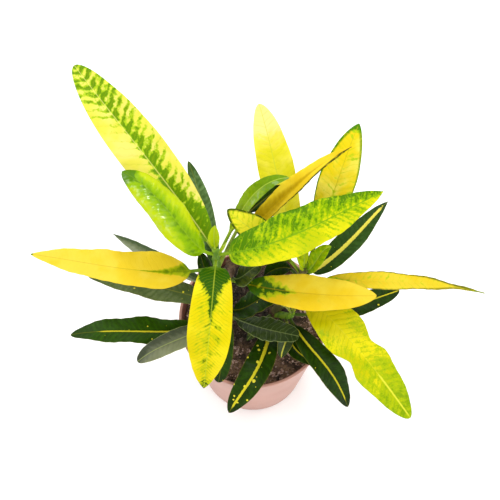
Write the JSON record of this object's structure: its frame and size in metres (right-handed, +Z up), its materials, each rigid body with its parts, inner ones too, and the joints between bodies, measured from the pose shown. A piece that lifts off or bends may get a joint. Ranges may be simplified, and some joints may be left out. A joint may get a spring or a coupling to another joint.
{
  "type": "potted croton",
  "caption": "Young croton with long waved leaves marbled yellow and green, on two leafy canes in a round tapered terracotta-coloured plastic nursery pot.",
  "frame": {"origin": "centre of the pot's flat underside", "axes": "+Z up along the pot's axis, -Y towards the side that the picture shows, +X to its right"},
  "size_m": [0.3405, 0.2166, 0.2749],
  "materials": {
    "pot": "thin moulded terracotta-coloured plastic, satin",
    "soil": "dark moist peat and bark, rough",
    "stems": "olive-brown cane below, lime green shoot above, matt to satin",
    "leaf_yellow": "waxy yellow blade with green marbling, glossy",
    "leaf_lime": "waxy yellow-green young blade, glossy",
    "leaf_dark": "waxy dark green blade with a pale midrib and yellow flecks, glossy"
  },
  "bodies": {
    "root": {"pot": "pot", "soil": "soil", "stem_left": "stems", "stem_right": "stems", "leaf_left_01": "leaf_yellow", "leaf_left_02": "leaf_lime", "leaf_left_03": "leaf_lime", "leaf_left_04": "leaf_yellow", "leaf_left_05": "leaf_yellow", "leaf_left_06": "leaf_yellow", "leaf_left_07": "leaf_dark", "leaf_left_08": "leaf_yellow", "leaf_left_09": "leaf_dark", "leaf_left_10": "leaf_lime", "leaf_left_11": "leaf_dark", "leaf_left_12": "leaf_dark", "leaf_left_13": "leaf_dark", "leaf_left_14": "leaf_dark", "leaf_left_15": "leaf_dark", "leaf_left_16": "leaf_dark", "leaf_left_17": "leaf_dark", "leaf_left_18": "leaf_dark", "leaf_left_19": "leaf_dark", "leaf_right_01": "leaf_yellow", "leaf_right_02": "leaf_yellow", "leaf_right_03": "leaf_lime", "leaf_right_04": "leaf_dark", "leaf_right_05": "leaf_yellow", "leaf_right_06": "leaf_yellow", "leaf_right_07": "leaf_dark", "leaf_right_08": "leaf_lime", "leaf_front_01": "leaf_dark", "leaf_front_02": "leaf_dark", "leaf_front_03": "leaf_dark", "leaf_front_04": "leaf_dark", "leaf_front_05": "leaf_dark", "leaf_front_06": "leaf_lime"}
  },
  "joints": []
}
